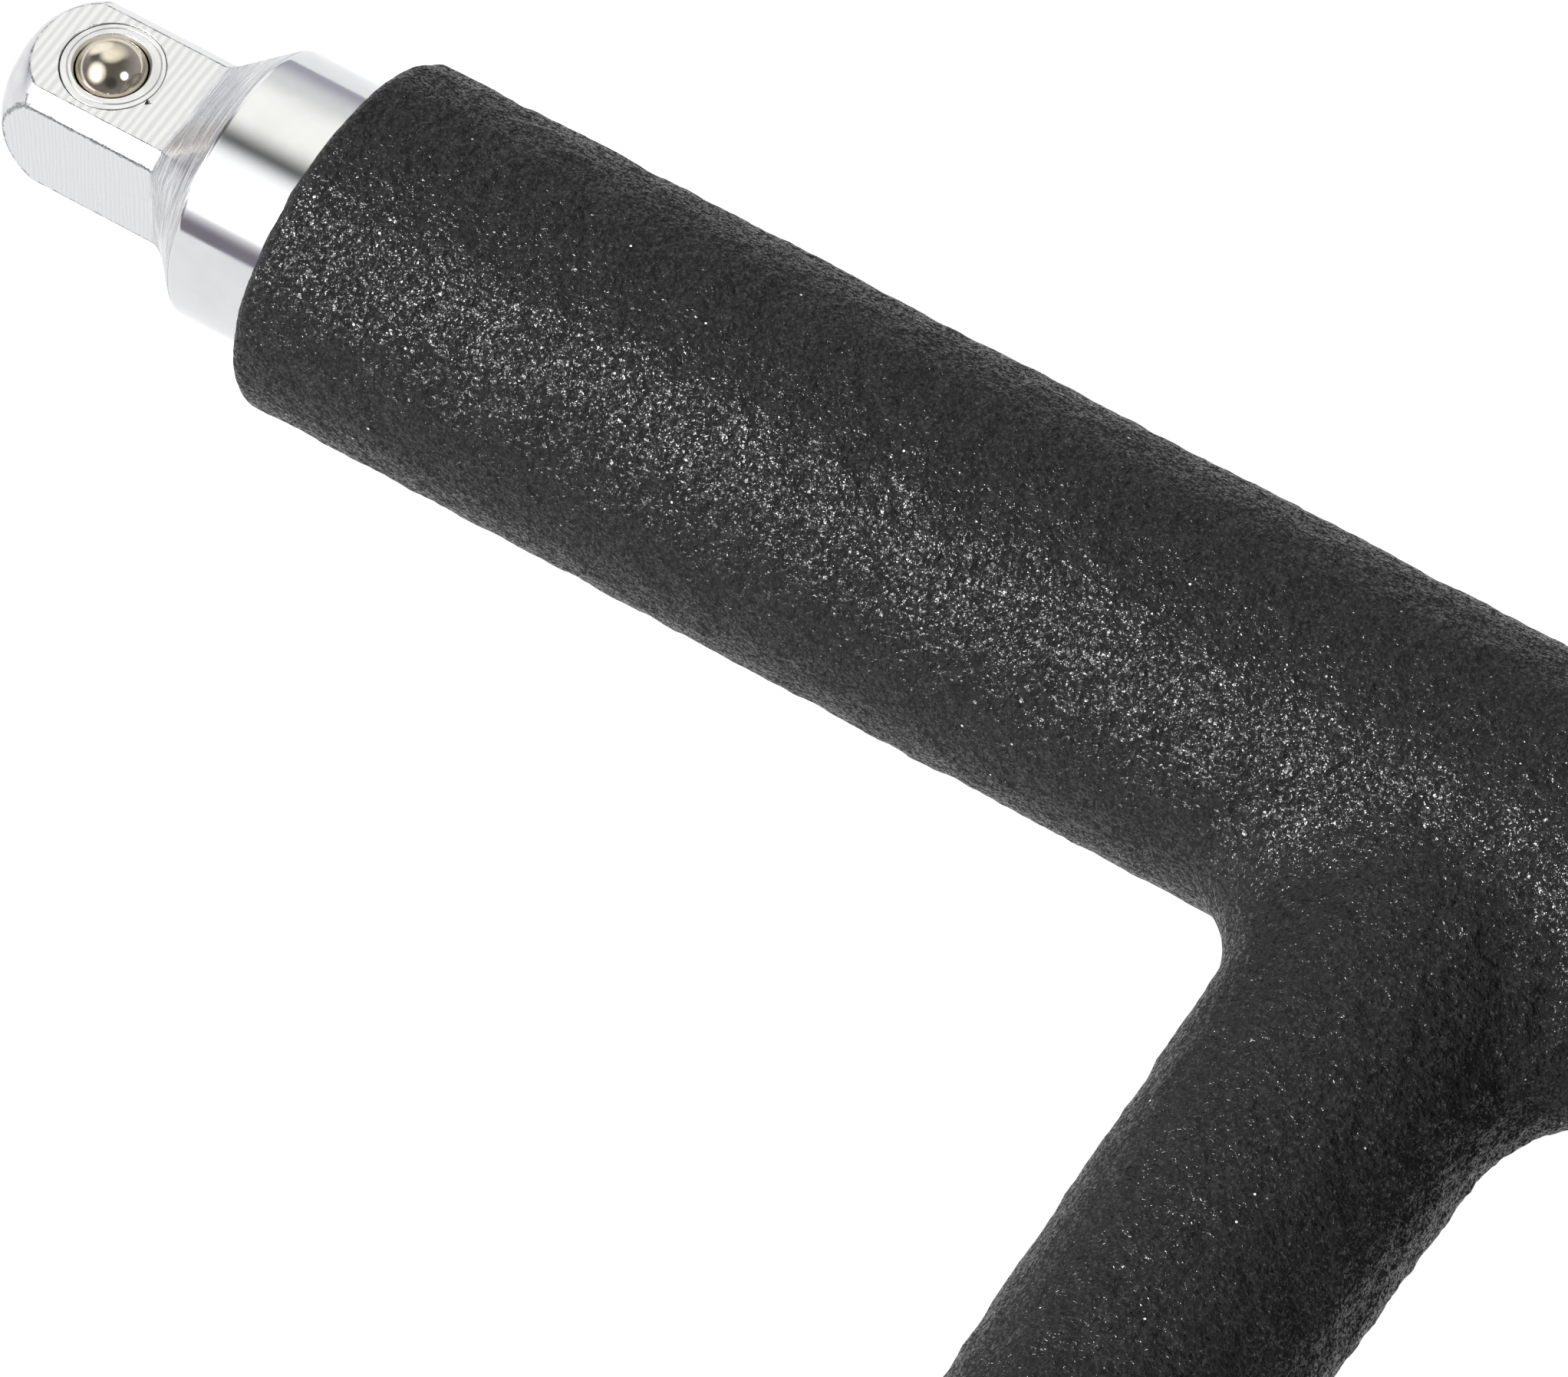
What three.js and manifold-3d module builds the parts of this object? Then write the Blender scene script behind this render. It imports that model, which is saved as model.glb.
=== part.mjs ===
// Half-inch drive T-shaped breaker bar, in millimetres.
//
// The origin is the centre of the square drive's nose face. The crossbar runs from there along +X,
// the lever leaves it along -Y, and +Z is up, the side of the drive that carries the detent ball.
// The welded steel tee (anvil, crossbar tube, lever tube) wears one moulded cover over its three
// arms and a second grip at the end of the lever.

import * as THREE from 'three';
import { mergeVertices } from 'three/addons/utils/BufferGeometryUtils.js';
import Module from 'manifold-3d';

const wasm = await Module();
wasm.setup();

// ---------------------------------------------------------------- driving dimensions

const GAP = 0.3;                 // left between pieces that touch or press together

const SQUARE = 12.7;             // half-inch drive, across flats
const CORNER_CHAMFER = 1.35;     // leg of the chamfer along each edge of the square
const NOSE_FLAT_R = 2.5;         // flat tip of the rounded nose
const NOSE_ROUND_R = 8.6;        // where the nose's elliptical round would end
const NOSE_LENGTH = 7;
const FLATS_END_X = 15.9;        // the shoulder rises from here
const NECK_X = 21.9;             // the shoulder has become the round neck here
const NECK_R = 12.03;
const SPIGOT_R = 8.2;
const SPIGOT_X = [36, 76];       // anvil's spigot inside the crossbar tube

const DETENT_X = 8.28;           // detent centre behind the nose
const BALL_R = 3.2;
const BALL_Z = 4.95;             // ball stands 1.8 mm proud of the flat
const CAGE_R = 4.15;
const CAGE_DEPTH = 9.75;         // below the flat
const CAGE_BORE_R = 3.5;
const CAGE_FLOOR = 0.8;
const CAGE_LIP_R = 3.1;          // staked mouth, smaller than the ball
const CAGE_MOUTH_R = 3.35;
const CAGE_LIP_DEPTH = 0.33;

const TUBE_R = NECK_R;           // crossbar tube
const TUBE_BORE_R = SPIGOT_R + GAP;
const LEVER_X = 139.95;          // lever axis along the crossbar
const LEVER_R = 9;
const LEVER_BORE_R = 6;
const LEVER_LENGTH = 457.2;      // 18 in, crossbar axis to the lever's end face

const ARM_R = 15.875;            // cover over the crossbar, 1.25 in across
const ARM_START_X = 30.35;
const ARM_REACH = LEVER_X - ARM_START_X;   // the cover reaches this far along all three arms
const ARM_EDGE = 1.4;            // rounded rim at the cover's ends
const BRANCH_R = 13.2;           // cover over the lever, extrapolated to the crossbar axis
const BRANCH_DRAFT = 0.0183;     // loss of that radius for each millimetre along the lever
const FILLET_FRONT = 9.2;        // round between branch and arm, drive side
const FILLET_REAR = 12.3;        // the same on the far side
const FILLET_AT = 20;            // the round is rolled against the branch's radius here
const FILLET_DONE = 34;          // beyond here the branch is a plain cone

const GRIP_START = 328;          // grip at the lever's end, measured from the crossbar axis
const GRIP_NOSE = 4;             // its rounded front
const GRIP_EDGE = 0.8;           // and its back rim
const CAP_THICKNESS = 8;
const CAP_R = 15.4;
const CAP_ROUND = 2.5;
const CAP_SPIGOT = 16;

const PIN_R = 2.5;
const PIN_X = [48, 62];
const CORE_LENGTH = 46;          // slug inside the crossbar under the lever's weld
const WELD_R = 3;

const SPRING_WIRE_R = 0.28;
const SPRING_COIL_R = 2.2;
const SPRING_TURNS = 4.25;
const PIN_WALL = 1.1;            // rolled spring pin
const PIN_SLOT = 0.35;           // half angle of its slit, in radians
const PIN_SUNK = 0.7;            // pin ends below the tube's surface
const WELD_STAND = 0.6;          // weld bead's centre off both tubes

const TURNED_CHAMFER = 0.6;      // broken edge of turned shoulders
const END_CHAMFER = 1;           // lead-in on spigots and the slug
const OVERRUN = 1.3;             // joined solids run this far into each other
const CUT_LENGTH = 300;          // cutters reach past everything

const SEGMENTS = 48;
const FINE_SEGMENTS = 72;
const SMALL_SEGMENTS = 40;

// ---------------------------------------------------------------- materials

const chrome = new THREE.MeshStandardMaterial({ color: 0xd6d8dc, roughness: 0.15, metalness: 1 });
const bearingSteel = new THREE.MeshStandardMaterial({ color: 0x8f877a, roughness: 0.12, metalness: 1 });
const plainSteel = new THREE.MeshStandardMaterial({ color: 0x80838a, roughness: 0.45, metalness: 1 });
const weldSteel = new THREE.MeshStandardMaterial({ color: 0x5c5a58, roughness: 0.6, metalness: 1 });
const grainedRubber = new THREE.MeshStandardMaterial({ color: 0x2b2b2d, roughness: 0.85, metalness: 0 });
const nylon = new THREE.MeshStandardMaterial({ color: 0x1b1b1d, roughness: 0.5, metalness: 0 });

// ---------------------------------------------------------------- solids from geometries

function toSolid(geometry) {
  const bare = geometry.clone();
  bare.deleteAttribute('normal');
  bare.deleteAttribute('uv');
  const merged = mergeVertices(bare, 1e-4);
  const mesh = new wasm.Mesh({
    numProp: 3,
    vertProperties: new Float32Array(merged.attributes.position.array),
    triVerts: new Uint32Array(merged.index.array),
  });
  return new wasm.Manifold(mesh);
}

function toGeometry(solid) {
  const mesh = solid.getMesh();
  const geometry = new THREE.BufferGeometry();
  geometry.setAttribute('position', new THREE.BufferAttribute(mesh.vertProperties, 3));
  geometry.setIndex(new THREE.BufferAttribute(mesh.triVerts, 1));
  geometry.computeVertexNormals();
  return geometry;
}

function cut(body, ...tools) {
  return toGeometry(tools.reduce((left, tool) => left.subtract(toSolid(tool)), toSolid(body)));
}

function join(...geometries) {
  return toGeometry(geometries.map(toSolid).reduce((sum, next) => sum.add(next)));
}

// A profile is a list of [radius, station] pairs, walked so that the outside goes up the axis.
function revolve(profile, segments = SEGMENTS) {
  const points = profile.map(([radius, station]) => new THREE.Vector2(radius, station));
  return new THREE.LatheGeometry(points, segments);
}

const alongX = (geometry) => geometry.rotateZ(-Math.PI / 2);
const alongZ = (geometry) => geometry.rotateX(Math.PI / 2);
const alongLever = (geometry) => geometry.rotateX(Math.PI).translate(LEVER_X, 0, 0);

// Profile of a rod or, with a bore, of a tube between two stations.
function rod(radius, from, to, bore = 0) {
  const inner = bore > 0 ? [[bore, to], [bore, from], [radius, from]] : [[0, to]];
  const start = bore > 0 ? [[radius, from]] : [[0, from], [radius, from]];
  return [...start, [radius, to], ...inner];
}

// Quarter round from angle a to angle b, in radians, as [radius, station] pairs.
function arc(centreR, centreStation, size, a, b, steps = 4) {
  return Array.from({ length: steps + 1 }, (_, i) => {
    const angle = a + ((b - a) * i) / steps;
    return [centreR + size * Math.cos(angle), centreStation + size * Math.sin(angle)];
  });
}

// Skin over a stack of closed rings of equal length: capped at both ends, or, as a loop, joined
// end to end. Rings run anticlockwise as seen from the last one.
function skin(rings, loop = false) {
  const count = rings[0].length;
  const positions = rings.flat().flatMap((point) => point.toArray());
  const index = [];
  const bands = loop ? rings.length : rings.length - 1;
  for (let k = 0; k < bands; k++) {
    const low = k * count;
    const high = ((k + 1) % rings.length) * count;
    for (let i = 0; i < count; i++) {
      const next = (i + 1) % count;
      index.push(low + i, low + next, high + next, low + i, high + next, high + i);
    }
  }
  if (!loop) {
    for (const [k, flip] of [[0, true], [rings.length - 1, false]]) {
      const centre = new THREE.Vector3();
      rings[k].forEach((point) => centre.addScaledVector(point, 1 / count));
      const apex = positions.length / 3;
      positions.push(...centre.toArray());
      for (let i = 0; i < count; i++) {
        const a = k * count + i;
        const b = k * count + ((i + 1) % count);
        index.push(...(flip ? [b, a, apex] : [a, b, apex]));
      }
    }
  }
  const geometry = new THREE.BufferGeometry();
  geometry.setAttribute('position', new THREE.Float32BufferAttribute(positions, 3));
  geometry.setIndex(index);
  return geometry;
}

const turn = (i, count = SEGMENTS) => (2 * Math.PI * i) / count;

function piece(name, geometry, material) {
  const mesh = new THREE.Mesh(geometry, material);
  mesh.name = name;
  return mesh;
}

// ---------------------------------------------------------------- drive anvil

// Distance from the axis to the chamfered square's outline, at an angle round the axis.
function squareRadius(angle) {
  const half = SQUARE / 2;
  const c = Math.abs(Math.cos(angle));
  const s = Math.abs(Math.sin(angle));
  return Math.min(half / Math.max(c, s), (SQUARE - CORNER_CHAMFER) / (c + s));
}

function squareOutline() {
  const half = SQUARE / 2;
  const flat = half - CORNER_CHAMFER;
  const corners = [[half, flat], [flat, half], [-flat, half], [-half, flat]];
  const lower = corners.map(([a, b]) => [-a, -b]);
  return new THREE.Shape([...corners, ...lower].map(([a, b]) => new THREE.Vector2(a, b)));
}

function anvilNose() {
  const depth = FLATS_END_X + OVERRUN;
  const steps = 12;
  const round = Array.from({ length: steps + 1 }, (_, i) => {
    const angle = (Math.PI / 2) * (1 - i / steps);
    const radius = NOSE_FLAT_R + (NOSE_ROUND_R - NOSE_FLAT_R) * Math.cos(angle);
    return [radius, NOSE_LENGTH * (1 - Math.sin(angle))];
  });
  const blank = alongX(revolve([[0, 0], ...round, [NOSE_ROUND_R, depth], [0, depth]], FINE_SEGMENTS));
  const length = depth + 2 * OVERRUN;
  const prism = new THREE.ExtrudeGeometry(squareOutline(), { depth: length, bevelEnabled: false });
  prism.rotateY(Math.PI / 2).translate(-OVERRUN, 0, 0);
  return toGeometry(toSolid(blank).intersect(toSolid(prism)));
}

// Square to round: each ring mixes the square's outline with the neck's circle.
function anvilShoulder() {
  const rise = NECK_X - FLATS_END_X;
  const stations = [[0, 0], [0.08, 0.03], [0.2, 0.15], [0.84, 0.9], [0.93, 0.975], [1, 1]];
  const rings = stations.map(([along, mix]) =>
    Array.from({ length: SEGMENTS }, (_, i) => {
      const radius = THREE.MathUtils.lerp(squareRadius(turn(i)), NECK_R, mix);
      const x = FLATS_END_X + rise * along;
      return new THREE.Vector3(x, radius * Math.cos(turn(i)), radius * Math.sin(turn(i)));
    }));
  return skin(rings);
}

function anvilShank() {
  const [start, end] = SPIGOT_X;
  const front = NECK_X - TURNED_CHAMFER;
  return alongX(revolve([
    [0, front], [NECK_R - TURNED_CHAMFER, front], [NECK_R, NECK_X],
    [NECK_R, start - TURNED_CHAMFER], [NECK_R - TURNED_CHAMFER, start],
    [SPIGOT_R, start], [SPIGOT_R, end - END_CHAMFER], [SPIGOT_R - END_CHAMFER, end], [0, end],
  ]));
}

function driveAnvil() {
  const floor = SQUARE / 2 - CAGE_DEPTH - GAP;
  const pocket = alongZ(revolve(rod(CAGE_R + GAP, floor, SQUARE), SMALL_SEGMENTS));
  const body = join(anvilNose(), anvilShoulder(), anvilShank());
  return cut(body, pocket.translate(DETENT_X, 0, 0), ...pinHoles());
}

// ---------------------------------------------------------------- detent

function detentCage() {
  const top = SQUARE / 2;
  const bottom = top - CAGE_DEPTH;
  const lip = top - CAGE_LIP_DEPTH;
  return alongZ(revolve([
    [0, bottom], [CAGE_R - GAP, bottom], [CAGE_R, bottom + GAP], [CAGE_R, top],
    [CAGE_MOUTH_R, top], [CAGE_LIP_R, lip], [CAGE_BORE_R, lip - (CAGE_BORE_R - CAGE_LIP_R)],
    [CAGE_BORE_R, bottom + CAGE_FLOOR], [0, bottom + CAGE_FLOOR],
  ], SMALL_SEGMENTS)).translate(DETENT_X, 0, 0);
}

class Helix extends THREE.Curve {
  constructor(radius, from, to, turns) {
    super();
    Object.assign(this, { radius, from, to, turns });
  }

  getPoint(t, target = new THREE.Vector3()) {
    const angle = 2 * Math.PI * this.turns * t;
    const z = THREE.MathUtils.lerp(this.from, this.to, t);
    return target.set(this.radius * Math.cos(angle), this.radius * Math.sin(angle), z);
  }
}

function detentSpring() {
  const sides = 8;
  const floor = SQUARE / 2 - CAGE_DEPTH + CAGE_FLOOR;
  const seat = BALL_Z - Math.sqrt((BALL_R + GAP + SPRING_WIRE_R) ** 2 - SPRING_COIL_R ** 2);
  const path = new Helix(SPRING_COIL_R, floor + GAP + SPRING_WIRE_R, seat, SPRING_TURNS);
  const section = new THREE.Shape(Array.from({ length: sides }, (_, i) =>
    new THREE.Vector2(SPRING_WIRE_R, 0).rotateAround(new THREE.Vector2(), turn(i, sides))));
  const steps = 2 * sides * SPRING_TURNS;
  const geometry = new THREE.ExtrudeGeometry(section, { steps, extrudePath: path, bevelEnabled: false });
  return geometry.translate(DETENT_X, 0, 0);
}

// ---------------------------------------------------------------- crossbar

const PIN_LENGTH = 2 * (TUBE_R - PIN_SUNK);

// The two pins cross the tube at right angles: the front one along Z, the rear one along Y.
function layPin(geometry, which) {
  if (which === 1) {
    geometry.rotateX(Math.PI / 2);
  }
  return geometry.translate(PIN_X[which], 0, 0);
}

function pinHoles() {
  return PIN_X.map((_, which) => layPin(alongZ(revolve(rod(PIN_R + GAP, -ARM_R, ARM_R), 24)), which));
}

// Rolled spring pin: a split ring in section.
function springPin(which) {
  const section = new THREE.Shape();
  section.absarc(0, 0, PIN_R, PIN_SLOT / 2, 2 * Math.PI - PIN_SLOT / 2, false);
  section.absarc(0, 0, PIN_R - PIN_WALL, 2 * Math.PI - PIN_SLOT, PIN_SLOT, true);
  const geometry = new THREE.ExtrudeGeometry(section, {
    depth: PIN_LENGTH, bevelEnabled: false, curveSegments: 10,
  });
  return layPin(geometry.translate(0, 0, -PIN_LENGTH / 2), which);
}

function crossbarTube() {
  const start = SPIGOT_X[0] + GAP;
  const profile = [
    [TUBE_BORE_R, start], [TUBE_R - TURNED_CHAMFER, start], [TUBE_R, start + TURNED_CHAMFER],
    [TUBE_R, LEVER_X + ARM_REACH], [TUBE_BORE_R, LEVER_X + ARM_REACH], [TUBE_BORE_R, start],
  ];
  return cut(alongX(revolve(profile)), ...pinHoles());
}

function teeCore() {
  const half = CORE_LENGTH / 2;
  const radius = TUBE_BORE_R - GAP;
  const profile = [
    [0, -half], [radius - END_CHAMFER, -half], [radius, END_CHAMFER - half],
    [radius, half - END_CHAMFER], [radius - END_CHAMFER, half], [0, half],
  ];
  return alongX(revolve(profile)).translate(LEVER_X, 0, 0);
}

// ---------------------------------------------------------------- lever and its weld

// Ring of round sections along the line where the lever tube meets the crossbar tube.
function saddleRing(size) {
  const sides = 12;
  const rings = Array.from({ length: SEGMENTS }, (_, k) => {
    const around = new THREE.Vector3(Math.cos(turn(k)), 0, Math.sin(turn(k)));
    const centre = around.clone().multiplyScalar(LEVER_R + WELD_STAND);
    centre.y = -Math.sqrt((TUBE_R + WELD_STAND) ** 2 - centre.z ** 2);
    const inward = new THREE.Vector3(0, 1, 0);
    return Array.from({ length: sides }, (_, i) => centre.clone()
      .addScaledVector(around, size * Math.cos(turn(i, sides)))
      .addScaledVector(inward, size * Math.sin(turn(i, sides)))
      .add(new THREE.Vector3(LEVER_X, 0, 0)));
  });
  return skin(rings, true);
}

function crossbarEnvelope() {
  return alongX(revolve(rod(TUBE_R + GAP, 0, CUT_LENGTH), FINE_SEGMENTS));
}

function teeWeldBead() {
  const lever = alongLever(revolve(rod(LEVER_R + GAP, 0, CUT_LENGTH)));
  return cut(saddleRing(WELD_R), crossbarEnvelope(), lever);
}

function leverTube() {
  const end = LEVER_LENGTH - CAP_THICKNESS - GAP;
  const tube = alongLever(revolve(rod(LEVER_R, TUBE_R / 2, end, LEVER_BORE_R)));
  return cut(tube, crossbarEnvelope());
}

// ---------------------------------------------------------------- moulded cover and grip

const branchRadius = (along) => BRANCH_R - BRANCH_DRAFT * along;

// The branch swells into the arm over a rolling-ball fillet whose radius grows from the drive side
// to the far side. Its root ring lies inside the arm.
function coverBranch() {
  const radius = branchRadius(FILLET_AT);
  const steps = 6;
  const rings = Array.from({ length: steps + 2 }, () => []);
  for (let i = 0; i < SEGMENTS; i++) {
    const around = new THREE.Vector3(Math.cos(turn(i)), 0, Math.sin(turn(i)));
    const ball = THREE.MathUtils.lerp(FILLET_FRONT, FILLET_REAR, (1 + around.x) / 2);
    const centre = around.clone().multiplyScalar(radius + ball);
    centre.y = -Math.sqrt((ARM_R + ball) ** 2 - centre.z ** 2);
    const toArm = new THREE.Vector3(0, -centre.y, -centre.z).normalize();
    const toLever = around.clone().negate();
    const spread = toArm.angleTo(toLever);
    rings[0].push(new THREE.Vector3(centre.x, centre.y * 0.5, centre.z * 0.5));
    for (let k = 0; k <= steps; k++) {
      const share = k / steps;
      const point = centre.clone()
        .addScaledVector(toArm, (ball * Math.sin((1 - share) * spread)) / Math.sin(spread))
        .addScaledVector(toLever, (ball * Math.sin(share * spread)) / Math.sin(spread));
      rings[k + 1].push(point);
    }
  }
  const edge = branchRadius(ARM_REACH) - ARM_EDGE;
  const rim = arc(edge, ARM_REACH - ARM_EDGE, ARM_EDGE, 0, Math.PI / 2);
  for (const [ringR, along] of [[branchRadius(FILLET_DONE), FILLET_DONE], ...rim]) {
    rings.push(Array.from({ length: SEGMENTS }, (_, i) =>
      new THREE.Vector3(ringR * Math.cos(turn(i)), -along, ringR * Math.sin(turn(i)))));
  }
  return skin(rings).translate(LEVER_X, 0, 0);
}

function armCover() {
  const end = LEVER_X + ARM_REACH;
  const edge = ARM_R - ARM_EDGE;
  const arm = alongX(revolve([
    [0, ARM_START_X],
    ...arc(edge, ARM_START_X + ARM_EDGE, ARM_EDGE, -Math.PI / 2, 0),
    ...arc(edge, end - ARM_EDGE, ARM_EDGE, 0, Math.PI / 2),
    [0, end],
  ]));
  const leverBore = alongLever(revolve(rod(LEVER_R + GAP, OVERRUN, CUT_LENGTH)));
  return cut(join(arm, coverBranch()), crossbarEnvelope(), leverBore, saddleRing(WELD_R + GAP));
}

function leverGrip() {
  const end = LEVER_LENGTH - CAP_THICKNESS - GAP;
  const bore = LEVER_R + GAP;
  return alongLever(revolve([
    [bore, GRIP_START],
    ...arc(ARM_R - GRIP_NOSE, GRIP_START + GRIP_NOSE, GRIP_NOSE, -Math.PI / 2, 0, 6),
    ...arc(ARM_R - GRIP_EDGE, end - GRIP_EDGE, GRIP_EDGE, 0, Math.PI / 2),
    [bore, end], [bore, GRIP_START],
  ]));
}

// ---------------------------------------------------------------- end caps

function endCap(spigotR, from) {
  const face = from + CAP_THICKNESS;
  const tip = from - CAP_SPIGOT;
  return revolve([
    [0, tip], [spigotR - END_CHAMFER, tip], [spigotR, tip + END_CHAMFER],
    [spigotR, from], [CAP_R, from],
    ...arc(CAP_R - CAP_ROUND, face - CAP_ROUND, CAP_ROUND, 0, Math.PI / 2),
    [0, face],
  ]);
}

// ---------------------------------------------------------------- the tool

const rearFrom = LEVER_X + ARM_REACH + GAP;
const leverFrom = LEVER_LENGTH - CAP_THICKNESS;
const ball = new THREE.SphereGeometry(BALL_R, 28, 18).translate(DETENT_X, 0, BALL_Z);

const breakerBar = new THREE.Group();
breakerBar.add(
  piece('drive_anvil', driveAnvil(), chrome),
  piece('detent_cage', detentCage(), chrome),
  piece('detent_ball', ball, bearingSteel),
  piece('detent_spring', detentSpring(), plainSteel),
  piece('anvil_pin_front', springPin(0), plainSteel),
  piece('anvil_pin_rear', springPin(1), plainSteel),
  piece('crossbar_tube', crossbarTube(), plainSteel),
  piece('tee_core', teeCore(), plainSteel),
  piece('tee_weld_bead', teeWeldBead(), weldSteel),
  piece('lever_tube', leverTube(), chrome),
  piece('arm_cover', armCover(), grainedRubber),
  piece('rear_cap', alongX(endCap(TUBE_BORE_R - GAP, rearFrom)), nylon),
  piece('lever_grip', leverGrip(), grainedRubber),
  piece('lever_cap', alongLever(endCap(LEVER_BORE_R - GAP, leverFrom)), nylon),
);

export default breakerBar;
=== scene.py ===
"""Looks of a half-inch drive T-shaped breaker bar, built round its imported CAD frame.

The crossbar lies along +X from the square drive's nose, the lever leaves it along -Y, and +Z is up.
Shapes are worked out in millimetres and become Blender's metres on their way into a mesh.
"""

import math

import bmesh
import bpy
import numpy as np
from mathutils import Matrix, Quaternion, Vector, noise
from mathutils.bvhtree import BVHTree


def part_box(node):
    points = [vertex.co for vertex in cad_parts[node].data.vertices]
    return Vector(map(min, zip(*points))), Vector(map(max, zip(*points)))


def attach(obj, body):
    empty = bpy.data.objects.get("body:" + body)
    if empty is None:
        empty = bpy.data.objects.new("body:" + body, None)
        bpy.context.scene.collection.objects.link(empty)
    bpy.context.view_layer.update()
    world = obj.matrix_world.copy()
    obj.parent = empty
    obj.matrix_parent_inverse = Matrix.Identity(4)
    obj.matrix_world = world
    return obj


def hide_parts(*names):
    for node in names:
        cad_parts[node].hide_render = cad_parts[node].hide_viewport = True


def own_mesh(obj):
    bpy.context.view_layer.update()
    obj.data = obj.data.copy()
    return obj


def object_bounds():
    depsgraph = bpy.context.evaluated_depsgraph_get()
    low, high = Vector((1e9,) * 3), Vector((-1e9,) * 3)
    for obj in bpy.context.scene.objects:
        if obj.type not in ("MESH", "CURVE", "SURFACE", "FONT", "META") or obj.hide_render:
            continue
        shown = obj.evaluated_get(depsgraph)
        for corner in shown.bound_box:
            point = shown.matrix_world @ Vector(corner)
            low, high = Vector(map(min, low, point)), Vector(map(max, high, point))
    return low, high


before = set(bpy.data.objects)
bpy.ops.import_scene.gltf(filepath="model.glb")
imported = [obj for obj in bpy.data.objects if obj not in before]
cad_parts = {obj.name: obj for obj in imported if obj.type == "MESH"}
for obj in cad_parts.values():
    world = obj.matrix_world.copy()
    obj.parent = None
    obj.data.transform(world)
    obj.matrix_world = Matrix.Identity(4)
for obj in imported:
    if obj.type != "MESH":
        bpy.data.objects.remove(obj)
CAD_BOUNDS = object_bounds()
MM = 0.001


# ---------------------------------------------------------------- sizes read from the frame, in mm

def box_mm(node):
    low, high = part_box(node)
    return np.array(low) / MM, np.array(high) / MM


_, ANVIL_HIGH = box_mm("drive_anvil")
CAGE_LOW, CAGE_HIGH = box_mm("detent_cage")
BALL_LOW, BALL_HIGH = box_mm("detent_ball")
COVER_LOW, COVER_HIGH = box_mm("arm_cover")
LEVER_LOW, LEVER_HIGH = box_mm("lever_tube")
GRIP_LOW, GRIP_HIGH = box_mm("lever_grip")
SPRING_LOW, SPRING_HIGH = box_mm("detent_spring")
REAR_CAP_LOW, REAR_CAP_HIGH = box_mm("rear_cap")
LEVER_CAP_LOW, LEVER_CAP_HIGH = box_mm("lever_cap")

NECK_R = ANVIL_HIGH[2]
DETENT_X = (CAGE_LOW[0] + CAGE_HIGH[0]) / 2
FLAT_Z = CAGE_HIGH[2]
SQUARE = 2 * FLAT_Z
BALL_CENTRE = (BALL_LOW + BALL_HIGH) / 2
BALL_R = (BALL_HIGH[2] - BALL_LOW[2]) / 2
ARM_R = COVER_HIGH[2]
ARM_START_X = COVER_LOW[0]
ARM_END_X = COVER_HIGH[0]
ARM_REACH = -COVER_LOW[1]
LEVER_X = (LEVER_LOW[0] + LEVER_HIGH[0]) / 2
LEVER_R = (LEVER_HIGH[0] - LEVER_LOW[0]) / 2
SPIGOT_END = ANVIL_HIGH[0]

# ---------------------------------------------------------------- shapes of the drive, in mm

CORNER_CHAMFER = 1.35
NOSE_FLAT_R = 2.5
NOSE_ROUND_R = 8.6
NOSE_LENGTH = 7.0
FLATS_END_X = 15.9               # the square ends here and its shoulder starts
NECK_X = 21.9                    # the shoulder has become the round neck here
SPIGOT_X = 36.0                  # the neck ends here and its spigot starts
NECK_CHAMFER = 0.6
SPIGOT_R = 8.2
SPIGOT_CHAMFER = 1.0
EDGE_SOFT = 0.1                  # how far the drive's milled edges are broken
CORNER_SOFT = 0.08               # and those of its corner chamfers
SHOULDER_FINISH = (FLATS_END_X + 0.5, NECK_X - 0.25)    # where the lathe's lines show
NICK = (12.82, -1.46)            # a small three-sided dent in the top flat
NICK_SIZE = 0.76
NICK_DEPTH = 0.3
NICK_CORNERS = (0.2, 2.4, 4.4)   # directions of its corners, in radians

# ---------------------------------------------------------------- shapes of the detent, in mm

POCKET_R = 4.41
POCKET_BREAK = 0.05              # its mouth's broken edge
POCKET_SPARE = 0.15              # room under the cage
CAGE_RIM_R = 4.36
CAGE_WALL_R = 4.26
CAGE_FOOT_R = 3.9
CAGE_FOOT = 0.3                  # height of the foot's chamfer
CAGE_FLOOR = 0.8
CAGE_SINK = 0.01                 # the cage's face lies this far under the flat
CAGE_SHIFT = 0.1                 # the cage sits this far to the rear of the ball
STAKE_R = 3.87                   # groove that the staking tool pressed round the mouth
STAKE_SHIFT = (0.1, 0.1)
RIM_SHIFT = 0.035                # the cage leans to the rear, so its gap is wider at the front
MOUTH_R = 3.27
FACE_EDGE = 0.05                 # depth of the face's small chamfers
BALL_WEAR = 0.012                # how much the ball has lost at its top
BALL_WEAR_FROM = 0.93            # height, as a share of the radius, where the wear starts
SPRING_WIRE_R = 0.28
SPRING_TURNS = 4.25
SPRING_GAP = 0.02                # to the CAD spring's box

# ---------------------------------------------------------------- shapes of the cover, in mm

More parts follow.
